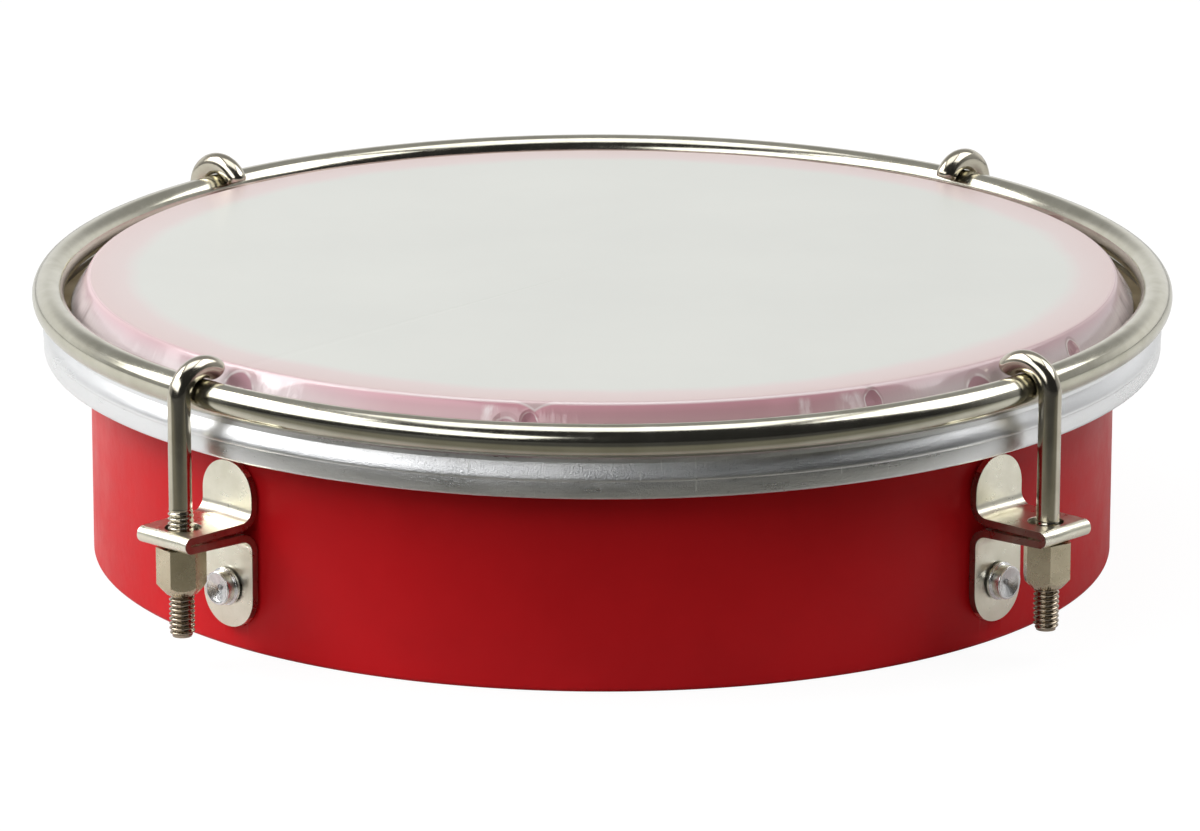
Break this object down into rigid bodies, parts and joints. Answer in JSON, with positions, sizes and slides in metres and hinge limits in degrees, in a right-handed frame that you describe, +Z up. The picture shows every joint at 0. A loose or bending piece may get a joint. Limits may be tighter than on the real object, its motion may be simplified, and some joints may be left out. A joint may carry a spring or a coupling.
{
  "type": "tamborim",
  "caption": "Small one-headed hand drum: round shell, film head in a channel ring, rod hoop pulled down by hook bolts with hexagon tuning nuts on folded brackets.",
  "frame": {"origin": "centre of the shell's open base, on the plane that the drum stands on", "axes": "+Z up through the playing face; -Y is the front of the picture; +X to its right"},
  "size_m": [0.1694, 0.1694, 0.0466],
  "materials": {
    "shell": "red, satin gloss",
    "film": "milky translucent polyester film",
    "flesh_hoop": "satin, rubbed and lightly scratched",
    "lock_ring": "cast resin",
    "tension_hoop": "nickel plated steel rod",
    "bracket": "nickel plated steel strip",
    "hook_bolt": "nickel plated steel wire, rolled thread",
    "tuning_nut": "nickel plated steel",
    "rivet": "bright",
    "rivet_pin": "bare steel",
    "inner_washer": "zinc plated"
  },
  "bodies": {
    "drum_body": {"shell": "shell", "drumhead_film": "film", "bracket_front_left": "bracket", "rivet_front_left": "rivet", "rivet_pin_front_left": "rivet_pin", "inner_washer_front_left": "inner_washer", "bracket_front_right": "bracket", "rivet_front_right": "rivet", "rivet_pin_front_right": "rivet_pin", "inner_washer_front_right": "inner_washer", "bracket_back_right": "bracket", "rivet_back_right": "rivet", "rivet_pin_back_right": "rivet_pin", "inner_washer_back_right": "inner_washer", "bracket_back_left": "bracket", "rivet_back_left": "rivet", "rivet_pin_back_left": "rivet_pin", "inner_washer_back_left": "inner_washer"},
    "rim": {"flesh_hoop": "flesh_hoop", "head_lock_ring": "lock_ring", "tension_hoop": "tension_hoop"},
    "bolt_front_left": {"hook_bolt_front_left": "hook_bolt"},
    "bolt_front_right": {"hook_bolt_front_right": "hook_bolt"},
    "bolt_back_right": {"hook_bolt_back_right": "hook_bolt"},
    "bolt_back_left": {"hook_bolt_back_left": "hook_bolt"},
    "nut_front_left": {"tuning_nut_front_left": "tuning_nut"},
    "nut_front_right": {"tuning_nut_front_right": "tuning_nut"},
    "nut_back_right": {"tuning_nut_back_right": "tuning_nut"},
    "nut_back_left": {"tuning_nut_back_left": "tuning_nut"}
  },
  "joints": [
    {"name": "rim_tension", "type": "slide", "parent": "drum_body", "child": "rim", "axis": [0, 0, 1], "range_m": [-0.0015, 0.003], "deforming": ["drumhead_film"]},
    {"name": "bolt_slide_front_left", "type": "slide", "parent": "drum_body", "child": "bolt_front_left", "axis": [0, 0, 1], "range_m": [-0.0016, 0.0031]},
    {"name": "bolt_slide_front_right", "type": "slide", "parent": "drum_body", "child": "bolt_front_right", "axis": [0, 0, 1], "range_m": [-0.0016, 0.0031]},
    {"name": "bolt_slide_back_right", "type": "slide", "parent": "drum_body", "child": "bolt_back_right", "axis": [0, 0, 1], "range_m": [-0.0016, 0.0031]},
    {"name": "bolt_slide_back_left", "type": "slide", "parent": "drum_body", "child": "bolt_back_left", "axis": [0, 0, 1], "range_m": [-0.0016, 0.0031]},
    {"name": "nut_turn_front_left", "type": "hinge", "parent": "drum_body", "child": "nut_front_left", "pos_m": [-0.0594, -0.06308, 0.01405], "axis": [0, 0, 1], "range_deg": [-1550, 778]},
    {"name": "nut_turn_front_right", "type": "hinge", "parent": "drum_body", "child": "nut_front_right", "pos_m": [0.06308, -0.0594, 0.01405], "axis": [0, 0, 1], "range_deg": [-1550, 778]},
    {"name": "nut_turn_back_right", "type": "hinge", "parent": "drum_body", "child": "nut_back_right", "pos_m": [0.0594, 0.06308, 0.01405], "axis": [0, 0, 1], "range_deg": [-1550, 778]},
    {"name": "nut_turn_back_left", "type": "hinge", "parent": "drum_body", "child": "nut_back_left", "pos_m": [-0.06308, 0.0594, 0.01405], "axis": [0, 0, 1], "range_deg": [-1550, 778]}
  ],
  "couplings": [
    {"joint": "bolt_slide_front_left", "follows": "rim_tension", "ratio": 1},
    {"joint": "bolt_slide_front_right", "follows": "rim_tension", "ratio": 1},
    {"joint": "bolt_slide_back_right", "follows": "rim_tension", "ratio": 1},
    {"joint": "bolt_slide_back_left", "follows": "rim_tension", "ratio": 1},
    {"joint": "nut_turn_front_left", "follows": "rim_tension", "rad_per_m": -8976},
    {"joint": "nut_turn_front_right", "follows": "rim_tension", "rad_per_m": -8976},
    {"joint": "nut_turn_back_right", "follows": "rim_tension", "rad_per_m": -8976},
    {"joint": "nut_turn_back_left", "follows": "rim_tension", "rad_per_m": -8976}
  ]
}
